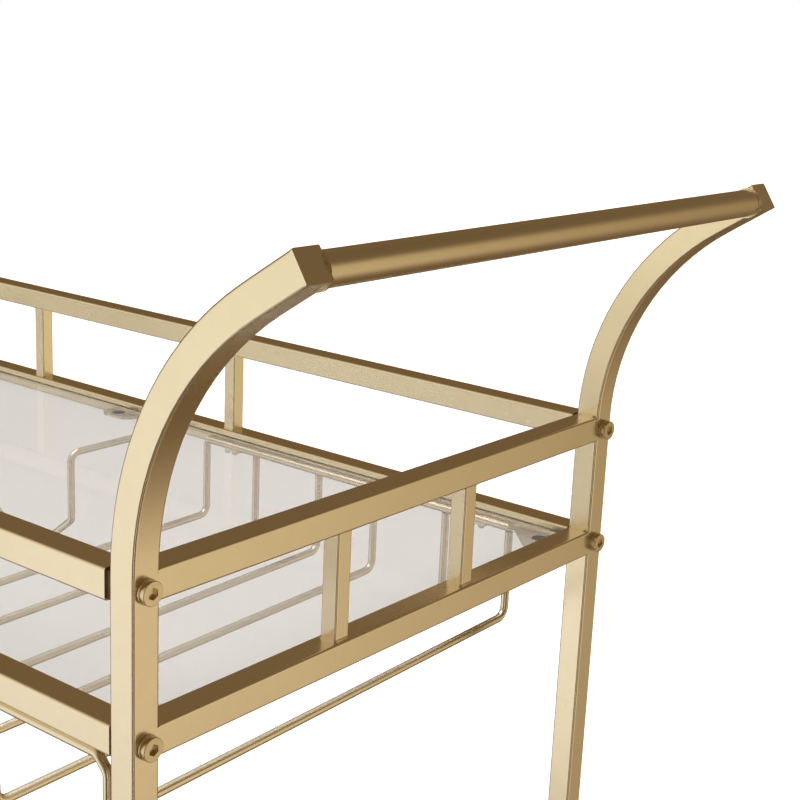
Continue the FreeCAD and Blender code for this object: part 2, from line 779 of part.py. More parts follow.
def rack_tabs():
    """Small plates that carry the racks from the undersides of the upper shelf rails.

    Each has a web that stands up under the rack's wire, beside the rail. The front of the
    stemware rack needs none: its plates are welded to the side of the front cross wire.
    """
    rail_foot = UPPER - size["shelf_drop"] - TUBE
    wide, thick = size["tab_wide"], size["bracket_thick"]
    shapes = []
    for x, side, y in rack_screw_spots():
        sign = SIDES[side]
        front_rack = side == "front" and x > HANDLE_FACE - size["cradle_start"] + wide
        outer = sign * (front_wire_y() - WIRE / 2)
        web_y = sign * back_wire_y()
        inner = outer - sign * 2 * (abs(outer) - abs(y)) if front_rack else web_y - sign * thick / 2
        low, high = min(outer, inner), max(outer, inner)
        plate = Part.makeBox(wide, high - low, thick, Vector(x - wide / 2, low, rail_foot - thick))
        if not front_rack:
            web_top = top_wire_z() - WIRE / 2
            corner = Vector(x - wide / 2, web_y - thick / 2, rail_foot - thick)
            web = Part.makeBox(wide, thick, web_top - corner.z, corner)
            plate = plate.fuse(web).removeSplitter()
        hole = Part.makeCylinder(size["screw_dia"] / 2 + 0.2, 2 * TUBE, Vector(x, y, rail_foot - TUBE))
        shapes.append(plate.cut(hole))
    feature = doc.addObject("Part::Feature", "rack_tabs")
    feature.Label = "rack_tabs"
    feature.Shape = Part.makeCompound(shapes)
    nodes["rack_tabs"] = feature


def rack_screws():
    """Pan-head screws, heads down, through the tabs into the rails' lower walls."""
    master = master_body("screw_master")
    head = new_sketch(master, "XY")
    circle(head, "screw_head_dia")
    pad(master, head, "screw_head_high", reverse=True)
    round_edges(master, "screw_head_high / 2.2", lambda edge: edge.CenterOfMass.z < -2)
    shank = new_sketch(master, "XY")
    circle(shank, "screw_dia")
    pad(master, shank, "bracket_thick + 6")
    z = UPPER - size["shelf_drop"] - TUBE - size["bracket_thick"]
    group("rack_screws", master, [Placement(Vector(x, y, z), UPRIGHT) for x, _, y in rack_screw_spots()])


# ---------------------------------------------------------------- casters

def leg_spots():
    """Name and place of each leg's axis."""
    return {"%s_%s" % (side, end): (x, sign * LEG_Y)
            for end, x in ENDS.items() for side, sign in SIDES.items()}


def leg_sockets():
    """Plugs in the legs' lower ends, with the threaded hole for the caster stem."""
    master = master_body("socket_master")
    flange = new_sketch(master, "XY")
    rectangle(flange, "tube", "tube")
    circle(flange, "stem_dia + 0.1")
    pad(master, flange, "socket_flange", reverse=True)
    plug = new_sketch(master, "XY")
    across = "tube - 2 * tube_wall - 2 * plug_play"
    rectangle(plug, across, across)
    circle(plug, "stem_dia + 0.1")
    pad(master, plug, "socket_length")
    places = [Placement(Vector(x, y, size["leg_bottom"]), UPRIGHT) for x, y in leg_spots().values()]
    group("leg_sockets", master, places)


def caster_stems():
    """Threaded stem, hexagon collar and kingpin in one piece, fixed in each leg."""
    top = size["fork_top"]
    pin = size["kingpin_dia"] / 2
    stem = size["stem_dia"] / 2
    plate_under = top - 3
    disc_under = top + 0.3
    disc_over = top + 1.4
    profile = [(0, plate_under - 1.6), (pin + 2.2, plate_under - 1.6), (pin + 2.2, plate_under),
               (pin, plate_under), (pin, disc_under), (pin + 5.5, disc_under), (pin + 5.5, disc_over),
               (stem, disc_over), (stem, size["stem_top"]), (0, size["stem_top"])]
    wire = Part.makePolygon([Vector(r, 0, z) for r, z in profile + profile[:1]])
    turned_part = Part.Face(wire).revolve(Vector(), Vector(0, 0, 1), 360)
    corner = Vector(size["collar_dia"] / 2, 0, disc_over)
    corners = [Rotation(Vector(0, 0, 1), 60 * k).multVec(corner) for k in range(7)]
    collar_high = size["leg_bottom"] - size["socket_flange"] - disc_over
    collar = Part.Face(Part.makePolygon(corners)).extrude(Vector(0, 0, collar_high))
    whole = turned_part.fuse(collar).removeSplitter()
    group("caster_stems", whole, [Placement(Vector(x, y, 0), UPRIGHT) for x, y in leg_spots().values()])


def caster_fork(spot, x, y):
    """Pressed fork: two cheeks that sweep back from the swivel to the axle, and a top plate."""
    body = new_body(spot + "_fork")
    side = new_sketch(body, "XZ")
    foot = "wheel_dia / 2 - fork_foot"
    waist = "wheel_dia / 2 - fork_foot + 5"
    outline(side, [("-fork_front", "fork_top"), ("-fork_front", "fork_top - 6"),
                   ("trail - fork_foot", waist), ("trail - fork_foot + 4", foot),
                   ("trail + fork_foot - 4", foot), ("trail + fork_foot", waist),
                   ("trail + fork_back", "fork_top - 12"), ("trail + fork_back", "fork_top - 3"),
                   ("trail + 4", "fork_top")])
    pad(body, side, "fork_gap + 2 * fork_wall", both_ways=True)
    inside = new_sketch(body, "YZ")
    rectangle(inside, "fork_gap", "fork_top - 2.5", ("0", "(fork_top - 2.5) / 2"))
    full_width = size["fork_gap"] + 2 * size["fork_wall"]
    round_edges(body, "fork_wall", lambda edge: abs(edge.Length - full_width) < 0.01
                and edge.CenterOfMass.z < size["wheel_dia"] / 2)
    pocket(body, inside, both_ways=True)
    pin = new_sketch(body, "XY")
    circle(pin, "kingpin_dia + 2 * running_gap")
    pocket(body, pin, both_ways=True)
    axle = new_sketch(body, "XZ")
    circle(axle, "axle_dia", ("trail", "wheel_dia / 2"))
    if spot.endswith("handle"):
        circle(axle, "pivot_dia + 2 * running_gap", ("trail + pivot_back", "wheel_dia + pivot_rise"))
    pocket(body, axle, both_ways=True)
    place(body, x, y, 0)


def caster_axle(spot, x, y):
    """Axle bolt with a domed head and a hexagon nut."""
    body = new_body(spot + "_axle")
    reach = "(fork_gap + 2 * fork_wall) / 2"
    shaft = new_sketch(body, "XY")
    circle(shaft, "axle_dia")
    pad(body, shaft, "fork_gap + 2 * fork_wall", both_ways=True)
    head = new_sketch(body, "XY")
    head.AttachmentOffset = Placement(Vector(0, 0, size["fork_gap"] / 2 + size["fork_wall"]), UPRIGHT)
    circle(head, "axle_dia + 4")
    pad(body, head, "2.4")
    nut = new_sketch(body, "XY")
    nut.AttachmentOffset = Placement(Vector(0, 0, -size["fork_gap"] / 2 - size["fork_wall"]), UPRIGHT)
    outline(nut, [("5.6 * cos(%ddeg)" % (60 * k), "5.6 * sin(%ddeg)" % (60 * k)) for k in range(6)])
    pad(body, nut, "3", reverse=True)
    round_edges(body, "1.4", lambda edge: edge.CenterOfMass.z > size["fork_gap"] / 2 + 4.2)
    outward = -1 if y < 0 else 1
    place(body, x + size["trail"], y, size["wheel_dia"] / 2, Rotation(Vector(1, 0, 0), -90 * outward))


def turned(name, half_section, x, y):
    """A piece turned about the wheel's axle, the same on both sides.

    The half section is (radius, depth below the wheel's side face) pairs, from the bore out.
    """
    body = new_body(name)
    sketch = new_sketch(body, "XZ")
    near = [(radius, "-(wheel_wide / 2 - (%s))" % depth) for radius, depth in half_section]
    far = [(radius, "wheel_wide / 2 - (%s)" % depth) for radius, depth in reversed(half_section)]
    outline(sketch, near + far)
    feature = body.newObject("PartDesign::Revolution", name + "_turn")
    feature.Profile = sketch
    feature.ReferenceAxis = (sketch, ["V_Axis"])
    feature.Angle = 360
    place(body, x + size["trail"], y, size["wheel_dia"] / 2, ALONG_Y)


def caster_wheel(spot, x, y):
    """Hub with a recessed web on each side, and the soft tread round it."""
    rim = "wheel_dia / 2 - tread_thick"
    turned(spot + "_wheel_hub",
           [("axle_dia / 2 + running_gap", "-0.8"), ("axle_dia", "-0.8"), ("axle_dia + 0.5", "3"),
            (rim + " - 3", "3"), (rim + " - 2", "0"), (rim, "0")], x, y)
    outer = "wheel_dia / 2"
    turned(spot + "_wheel_tread",
           [(rim, "0.4"), (outer + " - 1.6", "0.4"), (outer + " - 0.5", "1.6"), (outer, "4")], x, y)


def brake_pedal(spot, x, y):
    """Foot pedal between the fork's cheeks; pushed down, its shoe nears the tread."""
    body = new_body(spot + "_brake_pedal")
    width = size["fork_gap"] - 2 * size["pedal_play"]
    side = new_sketch(body, "XZ")
    outline(side, [("-4", "2.6"), ("-4", "-1.6"), ("3", "-1.6"), ("9", "-3"), ("15", "-7.5"),
                   ("19", "-8"), ("33", "-9"), ("35", "-6.5"), ("20", "-2.5"), ("6", "2.6")])
    pad(body, side, "fork_gap - 2 * pedal_play", both_ways=True)
    round_edges(body, "1", lambda edge: abs(edge.Length - width) < 0.01)
    pins = new_sketch(body, "XZ")
    circle(pins, "pivot_dia")
    pad(body, pins, "fork_gap + 2 * fork_wall", both_ways=True)
    place(body, x + size["trail"] + size["pivot_back"], y, size["wheel_dia"] + size["pivot_rise"])


def casters():
    leg_sockets()
    caster_stems()
    for spot, (x, y) in leg_spots().items():
        caster_fork(spot, x, y)
        caster_axle(spot, x, y)
        caster_wheel(spot, x, y)
        if spot.endswith("handle"):
            brake_pedal(spot, x, y)


# ---------------------------------------------------------------- build, check and write

def check_all():
    """Every feature has recomputed, and every sub-part is a valid shape."""
    doc.recompute()
    for thing in doc.Objects:
        if "Invalid" in thing.State or "Error" in thing.State:
            raise RuntimeError("%s did not recompute: %s" % (thing.Name, thing.State))
    for name, thing in nodes.items():
        if thing.Shape.isNull() or not thing.Shape.isValid() or not thing.Shape.Solids:
            raise RuntimeError("%s has no valid solid" % name)


def write_all():
    os.makedirs("parts", exist_ok=True)
    for name, thing in nodes.items():
        thing.Shape.exportStep("parts/%s.step" % name)


handle_uprights()
plain_uprights()
handle_bar()
tube_end_caps()
end_rails()
side_rails()
all_posts()
glass_shelves()
shelf_brackets()
frame_bolts()
frame_washers()
rail_end_plugs()
stemware_rack()
bottle_cradles()
rack_tabs()
rack_screws()
casters()
check_all()
write_all()
print("wrote", len(nodes), "sub-parts; handle-end face at x =", round(HANDLE_FACE, 3))
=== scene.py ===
import json
import math
import random

import bmesh
import bpy
from mathutils import Matrix, Vector


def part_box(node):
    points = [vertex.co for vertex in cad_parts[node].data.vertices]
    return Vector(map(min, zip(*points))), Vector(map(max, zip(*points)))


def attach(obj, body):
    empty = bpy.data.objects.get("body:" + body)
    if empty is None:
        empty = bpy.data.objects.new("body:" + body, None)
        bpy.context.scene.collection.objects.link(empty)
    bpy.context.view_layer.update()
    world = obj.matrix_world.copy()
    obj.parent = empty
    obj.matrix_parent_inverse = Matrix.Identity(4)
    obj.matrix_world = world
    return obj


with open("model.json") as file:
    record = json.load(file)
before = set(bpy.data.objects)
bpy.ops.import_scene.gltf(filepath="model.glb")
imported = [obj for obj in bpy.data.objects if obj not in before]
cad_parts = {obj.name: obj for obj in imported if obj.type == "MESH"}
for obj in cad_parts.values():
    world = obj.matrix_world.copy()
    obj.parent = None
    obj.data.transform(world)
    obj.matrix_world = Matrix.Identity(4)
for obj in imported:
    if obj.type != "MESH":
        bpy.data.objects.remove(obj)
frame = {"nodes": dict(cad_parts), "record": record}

# The bar cart's looks: finishes for every part, the welds and mouldings that the plain frame
# leaves out, and a studio with the camera close to the handle end.

NODES = frame["nodes"]
RECORD = frame["record"]
MM = 0.001
SPOTS = ["front_handle", "rear_handle", "front_plain", "rear_plain"]
BRAKED_SPOTS = [spot for spot in SPOTS if spot.endswith("handle")]
SCENE = bpy.context.scene

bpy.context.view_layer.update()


# ---------------------------------------------------------------- camera

CAMERA_ANGLES = (52.036, 14.541, 2.595)     # degrees: azimuth, elevation, roll
CAMERA_OFFSET = (0.4401, -0.3914, 0.3024)   # from the front handle corner of the upper shelf
CAMERA_LENS = 67.824                        # focal length in mm on a 36 mm sensor


def add_camera():
    """A close view along the cart from beside the handle end, a little above the upper shelf."""
    rail_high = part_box("handle_end_upper_shelf_rail")[1]
    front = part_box("front_handle_upright")[0].y
    corner = Vector((rail_high.x, front, rail_high.z))
    azimuth, elevation, roll = [math.radians(angle) for angle in CAMERA_ANGLES]
    forward = Vector((-math.cos(azimuth) * math.cos(elevation),
                      math.sin(azimuth) * math.cos(elevation), -math.sin(elevation)))
    right = forward.cross(Vector((0, 0, 1))).normalized()
    up = right.cross(forward)
    rolled_right = math.cos(roll) * right + math.sin(roll) * up
    rolled_up = math.cos(roll) * up - math.sin(roll) * right
    data = bpy.data.cameras.new("camera")
    data.lens = CAMERA_LENS
    data.sensor_width = 36
    data.clip_start = 0.01
    camera = bpy.data.objects.new("camera", data)
    turn = Matrix((rolled_right, rolled_up, -forward)).transposed().to_4x4()
    camera.matrix_world = Matrix.Translation(corner + Vector(CAMERA_OFFSET)) @ turn
    SCENE.collection.objects.link(camera)
    SCENE.camera = camera


# ---------------------------------------------------------------- studio

def add_floor():
    """A broad pale floor, unseen in the metal's shine and through the glass, which see the studio."""
    bpy.ops.mesh.primitive_plane_add(size=60, location=(0, 0, 0))
    floor = bpy.context.object
    floor.name = "floor"
    made = bpy.data.materials.new("pale_floor")
    made.use_nodes = True
    shader = made.node_tree.nodes["Principled BSDF"]
    shader.inputs["Base Color"].default_value = (0.95, 0.95, 0.95, 1)
    shader.inputs["Roughness"].default_value = 0.9
    shader.inputs["Specular IOR Level"].default_value = 0.0
    floor.data.materials.append(made)
    floor.visible_glossy = False
    floor.visible_transmission = False


# The studio's walls, as (compass angle in degrees from +X towards +Y, colour). Below eye level:
# white soft boxes on the front left, warm walls past the handle end, brown shade elsewhere.
LOW_WALLS = [
    (-180, (0.17, 0.115, 0.06)), (-165, (0.26, 0.20, 0.13)), (-148, (0.94, 0.92, 0.86)),
    (-130, (0.98, 0.96, 0.90)), (-108, (0.97, 0.93, 0.85)), (-96, (0.28, 0.20, 0.12)),
    (-82, (0.09, 0.06, 0.035)), (-60, (0.10, 0.07, 0.04)), (-50, (1.45, 1.36, 1.15)),
    (-40, (0.10, 0.07, 0.04)), (-5, (0.22, 0.155, 0.09)), (15, (0.66, 0.56, 0.39)),
    (33, (0.86, 0.74, 0.52)), (50, (0.60, 0.49, 0.32)), (65, (0.30, 0.215, 0.12)),
    (85, (0.22, 0.15, 0.08)), (110, (0.17, 0.11, 0.055)), (135, (0.155, 0.10, 0.048)),
    (180, (0.17, 0.115, 0.06)),
]

# Above it: a dim brown ceiling, lighter only over the soft boxes.
HIGH_WALLS = [
    (-180, (0.20, 0.14, 0.075)), (-150, (0.66, 0.55, 0.38)), (-105, (0.66, 0.55, 0.38)),
    (-80, (0.17, 0.11, 0.06)), (-10, (0.18, 0.12, 0.06)), (60, (0.18, 0.125, 0.065)),
    (130, (0.19, 0.125, 0.062)), (180, (0.20, 0.14, 0.075)),
]

# How the walls' colour changes with height, as (sine of the elevation, colour).
HEIGHTS = [
    (-1.0, (0.45, 0.40, 0.35)), (-0.62, (0.80, 0.76, 0.71)), (-0.42, (1.09, 1.07, 1.06)),
    (-0.3, (1.08, 1.08, 1.05)), (-0.16, (1.0, 0.97, 0.83)), (0.05, (0.94, 0.89, 0.74)),
    (0.3, (1.0, 1.0, 1.0)), (1.0, (0.8, 0.8, 0.8)),
]


def wall_ramp(tree, source, stops, low, high):
    """A colour ramp over a value that runs from low to high."""
    spread = tree.nodes.new("ShaderNodeMapRange")
    spread.inputs["From Min"].default_value = low
    spread.inputs["From Max"].default_value = high
    tree.links.new(source, spread.inputs["Value"])
    ramp = tree.nodes.new("ShaderNodeValToRGB")
    while len(ramp.color_ramp.elements) < len(stops):
        ramp.color_ramp.elements.new(0.5)
    for element, (value, colour) in zip(ramp.color_ramp.elements, stops):
        element.position = (value - low) / (high - low)
        element.color = (*colour, 1)
    tree.links.new(spread.outputs["Result"], ramp.inputs[0])
    return ramp.outputs["Color"]


def mix_colours(tree, blend, factor, first, second):
    """Mix two colours; without a factor the blend is complete."""
    mixed = tree.nodes.new("ShaderNodeMix")
    mixed.data_type = "RGBA"
    mixed.blend_type = blend
    mixed.inputs[0].default_value = 1.0
    if factor is not None:
        tree.links.new(factor, mixed.inputs[0])
    first_in, second_in = [socket for socket in mixed.inputs if socket.type == "RGBA"]
    tree.links.new(first, first_in)
    tree.links.new(second, second_in)
    return [socket for socket in mixed.outputs if socket.type == "RGBA"][0]


def calculate(tree, operation, first, second):
    """One sum on two values; each is a socket or, for the second, a plain number."""
    sum_node = tree.nodes.new("ShaderNodeMath")
    sum_node.operation = operation
    tree.links.new(first, sum_node.inputs[0])
    if isinstance(second, float):
        sum_node.inputs[1].default_value = second
    else:
        tree.links.new(second, sum_node.inputs[1])
    return sum_node.outputs[0]


def add_world():
    """The studio's walls as the metal sees them.

    The camera sees plain white, directly and through the glass, and so does metal that looks
    up through the glass.
    """
    world = bpy.data.worlds.new("studio")
    SCENE.world = world
    world.use_nodes = True
    tree = world.node_tree
    nodes, links = tree.nodes, tree.links
    nodes.clear()
    where = nodes.new("ShaderNodeTexCoord")
    split = nodes.new("ShaderNodeSeparateXYZ")
    links.new(where.outputs["Generated"], split.inputs[0])
    compass = calculate(tree, "ARCTAN2", split.outputs["Y"], split.outputs["X"])
    low, high = [wall_ramp(tree, compass,
                           [(math.radians(angle), colour) for angle, colour in stops], -math.pi, math.pi)
                 for stops in (LOW_WALLS, HIGH_WALLS)]
    horizon = wall_ramp(tree, split.outputs["Z"],
                        [(-1, (0, 0, 0)), (0.12, (0, 0, 0)), (0.45, (1, 1, 1)), (1, (1, 1, 1))], -1, 1)
    heights = wall_ramp(tree, split.outputs["Z"], HEIGHTS, -1, 1)
    walls = mix_colours(tree, "MIX", horizon, low, high)
    room_colour = mix_colours(tree, "MULTIPLY", None, walls, heights)
    room = nodes.new("ShaderNodeBackground")
    links.new(room_colour, room.inputs["Color"])
    plain = nodes.new("ShaderNodeBackground")
    plain.inputs["Color"].default_value = (1, 1, 1, 1)
    path = nodes.new("ShaderNodeLightPath")
    unreflected = calculate(tree, "LESS_THAN", path.outputs["Glossy Depth"], 0.5)
    upward = calculate(tree, "GREATER_THAN", split.outputs["Z"], 0.0)
    clear = calculate(tree, "MAXIMUM", unreflected, upward)
    through = calculate(tree, "MULTIPLY", clear, path.outputs["Is Transmission Ray"])
    direct = calculate(tree, "MAXIMUM", through, path.outputs["Is Camera Ray"])
    seen = nodes.new("ShaderNodeMixShader")
    links.new(direct, seen.inputs[0])
    links.new(room.outputs[0], seen.inputs[1])
    links.new(plain.outputs[0], seen.inputs[2])
    out = nodes.new("ShaderNodeOutputWorld")
    links.new(seen.outputs[0], out.inputs["Surface"])


def add_light():
    """One broad overhead light that keeps the floor white, unseen by the polished metal."""
    data = bpy.data.lights.new("overhead", "SUN")
    data.energy = 4.2
    data.angle = math.radians(70)
    light = bpy.data.objects.new("overhead", data)
    light.rotation_euler = (math.radians(8), math.radians(-10), 0)
    light.visible_glossy = False
    SCENE.collection.objects.link(light)


# ---------------------------------------------------------------- materials

class Finish:
    """A node material being made: short calls to add and join nodes."""

    def __init__(self, name):
        self.made = bpy.data.materials.new(name)
        self.made.use_nodes = True
        self.tree = self.made.node_tree
        self.shader = self.tree.nodes["Principled BSDF"]
        place = self.tree.nodes.new("ShaderNodeTexCoord")
        self.place = place.outputs["Object"]

    def set(self, **values):
        for key, value in values.items():
            self.shader.inputs[key.replace("_", " ")].default_value = value

    def link(self, source, target):
        self.tree.links.new(source, target)

    def noise(self, scale, detail=3.0, rough=0.5):
        node = self.tree.nodes.new("ShaderNodeTexNoise")
        node.inputs["Scale"].default_value = scale
        node.inputs["Detail"].default_value = detail
        node.inputs["Roughness"].default_value = rough
        self.link(self.place, node.inputs["Vector"])
        return node.outputs["Fac"]

    def cells(self, scale):
        node = self.tree.nodes.new("ShaderNodeTexVoronoi")
        node.inputs["Scale"].default_value = scale
        self.link(self.place, node.inputs["Vector"])
        return node.outputs["Distance"]

    def ramp(self, source, stops):
        node = self.tree.nodes.new("ShaderNodeValToRGB")
        while len(node.color_ramp.elements) < len(stops):
            node.color_ramp.elements.new(0.5)
        for element, (position, colour) in zip(node.color_ramp.elements, stops):
            element.position = position
            element.color = (*colour, 1)
        self.link(source, node.inputs[0])
        return node.outputs["Color"]

    def spread(self, source, low, high):
        node = self.tree.nodes.new("ShaderNodeMapRange")
        node.inputs["To Min"].default_value = low
        node.inputs["To Max"].default_value = high
        self.link(source, node.inputs["Value"])
        return node.outputs["Result"]

    def bump(self, source, distance, strength=1.0, after=None):
        node = self.tree.nodes.new("ShaderNodeBump")
        node.inputs["Distance"].default_value = distance
        node.inputs["Strength"].default_value = strength
        self.link(source, node.inputs["Height"])
        if after is not None:
            self.link(after, node.inputs["Normal"])
        return node.outputs["Normal"]

    def colour(self, source):
        self.link(source, self.shader.inputs["Base Color"])

    def roughness(self, source):
        self.link(source, self.shader.inputs["Roughness"])

    def normal(self, source):
        self.link(source, self.shader.inputs["Normal"])


def champagne_paint():
    """Satin champagne-gold powder coat: fine flake, a faint orange peel, slight cloudiness."""
    paint = Finish("champagne_paint")
    paint.set(Metallic=1.0)
    cloud = paint.noise(9, 4, 0.6)
    paint.colour(paint.ramp(cloud, [(0.3, (0.86, 0.757, 0.565)), (0.7, (0.895, 0.80, 0.615))]))
    paint.roughness(paint.spread(paint.noise(160, 3, 0.6), 0.22, 0.30))
    flake = paint.bump(paint.cells(3800), 0.00002, 0.25)
    paint.normal(paint.bump(paint.noise(700, 2, 0.5), 0.00006, 0.35, flake))
    return paint.made


def plated_gold():
    """Satin gold plate on the bolts, washers and screws."""
    plate = Finish("plated_gold")
    plate.set(Metallic=1.0)
    plate.colour(plate.ramp(plate.noise(120, 3), [(0.3, (0.72, 0.60, 0.40)), (0.7, (0.84, 0.72, 0.51))]))
    plate.roughness(plate.spread(plate.noise(900, 2), 0.22, 0.34))
    plate.normal(plate.bump(plate.noise(1500, 2), 0.00003, 0.3))
    return plate.made


def clear_glass():
    """Clear tempered glass with the faint haze of a handled surface."""
    pane = Finish("clear_glass")
    pane.set(Transmission_Weight=0.85, IOR=1.12)
    pane.colour(pane.ramp(pane.noise(5, 3), [(0.3, (0.685, 0.667, 0.635)), (0.7, (0.70, 0.682, 0.65))]))
    pane.roughness(pane.spread(pane.noise(30, 5, 0.6), 0.0, 0.004))
    return pane.made


def zinc_plate():
    """Bright zinc on the casters' steel, with soft crystalline mottling."""
    zinc = Finish("zinc_plate")
    zinc.set(Metallic=1.0)
    zinc.colour(zinc.ramp(zinc.noise(60, 4), [(0.3, (0.60, 0.60, 0.60)), (0.7, (0.74, 0.74, 0.75))]))
    zinc.roughness(zinc.spread(zinc.noise(240, 4, 0.7), 0.22, 0.38))
    zinc.normal(zinc.bump(zinc.noise(500, 3), 0.00005, 0.3))
    return zinc.made


def painted_shade_steel():
    """Steel of the threaded plugs inside the rails, coloured dark brown as painted shade for the shadowed
    gap at the rail ends.
    """
    steel = Finish("painted_shade_steel")
    steel.set(Metallic=1.0)
    # Painted shade: the dark brown stands in for the shadow in the gap between rail end and upright.
    steel.colour(steel.ramp(steel.noise(80, 4), [(0.3, (0.10, 0.065, 0.035)), (0.7, (0.15, 0.10, 0.06))]))
    steel.roughness(steel.spread(steel.noise(300, 3), 0.35, 0.55))
    return steel.made


def moulded(name, dark, light, rough=(0.45, 0.6), grain=900):
    """Moulded plastic or rubber with a fine spark-eroded grain."""
    plastic = Finish(name)
    plastic.colour(plastic.ramp(plastic.noise(40, 4), [(0.3, dark), (0.7, light)]))
    plastic.roughness(plastic.spread(plastic.noise(250, 3), *rough))
    plastic.normal(plastic.bump(plastic.noise(grain, 2), 0.00008, 0.5))
    return plastic.made


def clear_pad():
    """Soft, slightly milky clear plastic under the glass."""
    pad = Finish("clear_pad")
    pad.set(Transmission_Weight=0.35, IOR=1.3)
    pad.colour(pad.ramp(pad.noise(200, 2), [(0.3, (0.80, 0.82, 0.81)), (0.7, (0.88, 0.90, 0.89))]))
    pad.roughness(pad.spread(pad.noise(400, 2), 0.15, 0.3))
    return pad.made


def dress_cad():
    """Every CAD node gets the finish of its record slot."""
    finishes = {
        "champagne_paint": champagne_paint(),
        "clear_glass": clear_glass(),
        "bolt_finish": plated_gold(),
        "zinc_steel": zinc_plate(),
        "clear_pad": clear_pad(),
        "plug_plastic": moulded("black_nylon", (0.012, 0.012, 0.012), (0.022, 0.022, 0.022)),
        "plug_steel": painted_shade_steel(),
        "hub_plastic": moulded("hub_nylon", (0.018, 0.018, 0.019), (0.03, 0.03, 0.032)),
        "tread_rubber": moulded("grey_rubber", (0.05, 0.05, 0.052), (0.075, 0.075, 0.078), (0.6, 0.8), 600),
        "pedal_plastic": moulded("pedal_nylon", (0.015, 0.015, 0.015), (0.028, 0.028, 0.028)),
    }
    for row in RECORD["subparts"]:
        node = NODES[row["node"]]
        node.data.materials.clear()
        node.data.materials.append(finishes[row["material_slot"]])
    return finishes


# ---------------------------------------------------------------- building pieces

class Shell:
    """The points and faces of one piece as it is put together."""

    def __init__(self):
        self.points = []
        self.faces = []

    def skin(self, loops, caps=True, wrap=False):
        """Join successive closed loops; cap the ends, or wrap the last loop round to the first."""
        base, count = len(self.points), len(loops[0])
        for loop in loops:
            self.points.extend(loop)
        joins = len(loops) if wrap else len(loops) - 1
        for k in range(joins):
            here, there = base + k * count, base + (k + 1) % len(loops) * count
            for j in range(count):
                n = (j + 1) % count
                self.faces.append((here + j, here + n, there + n, there + j))
        if caps and not wrap:
            self.faces.append(tuple(base + j for j in range(count)))
            self.faces.append(tuple(base + (len(loops) - 1) * count + j for j in range(count)))

    def piece(self, name, finish, slot, body):
        """The finished object, with its finish, moving with a CAD body; the slot argument is not used."""
        mesh = bpy.data.meshes.new(name)
        mesh.from_pydata([tuple(point) for point in self.points], [], self.faces)
        rounded = bmesh.new()
        rounded.from_mesh(mesh)
        bmesh.ops.recalc_face_normals(rounded, faces=rounded.faces)
        for edge in rounded.edges:
            edge.smooth = len(edge.link_faces) == 2 and edge.calc_face_angle(0) < math.radians(40)
        for face in rounded.faces:
            face.smooth = True
        rounded.to_mesh(mesh)
        rounded.free()
        made = bpy.data.objects.new(name, mesh)
        mesh.materials.append(finish)
        SCENE.collection.objects.link(made)
        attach(made, body)
        return made


def islands(node):
    """The boxes (low, high) of a CAD node's separate solids."""
    mesh = NODES[node].data
    parent = {}

    def root(key):
        while parent[key] != key:
            parent[key] = parent[parent[key]]
            key = parent[key]
        return key

    keys = [tuple(round(c, 6) for c in vertex.co) for vertex in mesh.vertices]
    for key in keys:
        parent.setdefault(key, key)
    for face in mesh.polygons:
        first = root(keys[face.vertices[0]])
        for corner in face.vertices[1:]:
            parent[root(keys[corner])] = first
    boxes = {}
    for key in parent:
        low, high = boxes.setdefault(root(key), (list(key), list(key)))
        for k in range(3):
            low[k] = min(low[k], key[k])
            high[k] = max(high[k], key[k])
    return sorted((Vector(low), Vector(high)) for low, high in boxes.values())


# Widths of the weld beads
POST_BEAD = 1.0 * MM
RAIL_BEAD_BELOW = 2.0 * MM
RAIL_BEAD_ABOVE = 1.5 * MM
BAR_BEAD = 1.7 * MM

POST_CORNER = 1.0 * MM      # rounding of the posts' long edges
TUBE_CORNER = 1.4 * MM      # and of the larger tubes'


def bead_section(width, steps=4):
    """A weld's cross-section as (along the plate, up the wall) pairs, slightly bulged."""
    arc = []
    for k in range(steps + 1):
        angle = math.pi / 2 * k / steps
        bulge = 0.62 + 0.16 * math.sin(2 * angle)
        arc.append((width * bulge * math.cos(angle) / max(math.cos(angle), math.sin(angle)) ** 0.5,
                    width * bulge * math.sin(angle) / max(math.cos(angle), math.sin(angle)) ** 0.5))
    sunk = -0.15 * width
    return [(sunk, sunk), (width * 0.62, sunk)] + arc + [(sunk, width * 0.62)]


def rounded_square(half, corner, steps=4):
    """Points round a square with rounded corners, anticlockwise from the +X side."""
    points = []
    for quarter in range(4):
        for k in range(steps + 1):
            angle = math.pi / 2 * (quarter + k / steps)
            turn = math.pi / 2 * quarter + math.pi / 4
            centre = (half - corner) * math.sqrt(2)
            points.append((centre * math.cos(turn) + corner * math.cos(angle),
                           centre * math.sin(turn) + corner * math.sin(angle)))
    return points


def post_welds():
    """A small bead round both ends of every post."""
    for node in ("end_posts", "side_posts"):
        shell = Shell()
        for low, high in islands(node):
            middle = (low + high) / 2
            half = (high.x - low.x) / 2
            for z, way in ((low.z, 1), (high.z, -1)):
                loops = []
                for out, up in bead_section(POST_BEAD):
                    ring = rounded_square(half + out, POST_CORNER + max(out, 0))
                    loops.append([Vector((middle.x + u, middle.y + v, z + way * up)) for u, v in ring])
                shell.skin(loops, wrap=True)
        name = node.replace("posts", "post_welds")
        shell.piece(name, FINISH["champagne_paint"], "champagne_paint", "frame")


def straight_bead(shell, start, end, plate, wall, width, rng):
    """A weld from start to end in the corner between two faces, its ends tapering away."""
    steps = 14
    loops = []
    for k in range(steps + 1):
        share = k / steps
        taper = min(1.0, 5 * min(share, 1 - share) + 0.25)
        ripple = taper * width * (1 + 0.07 * rng.uniform(-1, 1))
        centre = start.lerp(end, share)
        loops.append([centre + plate * out + wall * up for out, up in bead_section(ripple)])
    shell.skin(loops)


